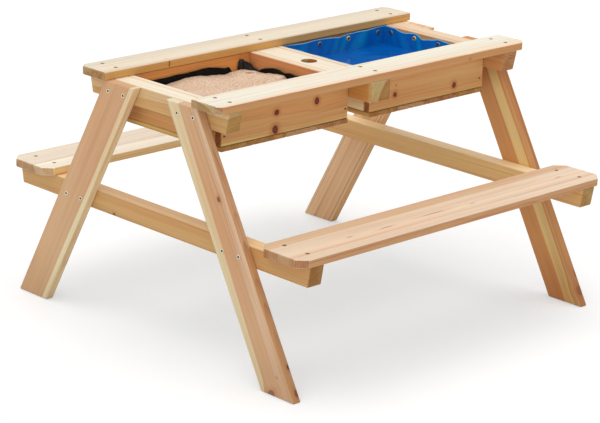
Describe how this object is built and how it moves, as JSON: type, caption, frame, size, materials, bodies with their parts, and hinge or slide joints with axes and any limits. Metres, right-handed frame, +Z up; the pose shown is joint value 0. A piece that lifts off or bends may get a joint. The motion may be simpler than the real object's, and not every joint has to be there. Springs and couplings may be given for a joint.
{
  "type": "child's picnic table with sandbox",
  "caption": "Low wooden picnic table with two benches on splayed legs; a lined sandbox and a lined water box hang side by side between the two top planks.",
  "frame": {"origin": "on the floor, under the middle of the table", "axes": "+X along the planks towards the water box, +Y to the rear bench, +Z up"},
  "size_m": [0.92, 0.936, 0.564],
  "materials": {
    "plank_wood": "matte",
    "leg_wood": "matte",
    "rail_wood": "matte",
    "box_wood": "matte",
    "floor_wood": "matte",
    "zinc_screw": "satin",
    "dark_screw": "satin",
    "black_fabric": "matte",
    "sand": "matte",
    "blue_sheet": "gloss",
    "water": "gloss"
  },
  "bodies": {
    "root": {"bench_front": "plank_wood", "bench_rear": "plank_wood", "bench_screw_front_left_inner": "dark_screw", "bench_screw_front_left_outer": "dark_screw", "bench_screw_front_right_inner": "dark_screw", "bench_screw_front_right_outer": "dark_screw", "bench_screw_rear_left_inner": "dark_screw", "bench_screw_rear_left_outer": "dark_screw", "bench_screw_rear_right_inner": "dark_screw", "bench_screw_rear_right_outer": "dark_screw", "centre_rail": "rail_wood", "leg_front_left": "leg_wood", "leg_front_right": "leg_wood", "leg_rear_left": "leg_wood", "leg_rear_right": "leg_wood", "sand": "sand", "sand_liner": "black_fabric", "sandbox_floor_1": "floor_wood", "sandbox_floor_2": "floor_wood", "sandbox_floor_3": "floor_wood", "sandbox_floor_4": "floor_wood", "sandbox_wall_front": "box_wood", "sandbox_wall_left": "box_wood", "sandbox_wall_rear": "box_wood", "sandbox_wall_right": "box_wood", "seat_rail_left": "rail_wood", "seat_rail_right": "rail_wood", "seat_screw_front_left_inner": "zinc_screw", "seat_screw_front_left_outer": "zinc_screw", "seat_screw_front_right_inner": "zinc_screw", "seat_screw_front_right_outer": "zinc_screw", "seat_screw_rear_left_inner": "zinc_screw", "seat_screw_rear_left_outer": "zinc_screw", "seat_screw_rear_right_inner": "zinc_screw", "seat_screw_rear_right_outer": "zinc_screw", "top_plank_front": "plank_wood", "top_plank_rear": "plank_wood", "top_rail_left": "rail_wood", "top_rail_right": "rail_wood", "top_screw_front_left_inner": "zinc_screw", "top_screw_front_left_outer": "zinc_screw", "top_screw_front_right_inner": "zinc_screw", "top_screw_front_right_outer": "zinc_screw", "top_screw_rear_left_inner": "zinc_screw", "top_screw_rear_left_outer": "zinc_screw", "top_screw_rear_right_inner": "zinc_screw", "top_screw_rear_right_outer": "zinc_screw", "water": "water", "water_box_floor_1": "floor_wood", "water_box_floor_2": "floor_wood", "water_box_floor_3": "floor_wood", "water_box_floor_4": "floor_wood", "water_box_wall_front": "box_wood", "water_box_wall_left": "box_wood", "water_box_wall_rear": "box_wood", "water_box_wall_right": "box_wood", "water_liner": "blue_sheet"}
  },
  "joints": []
}
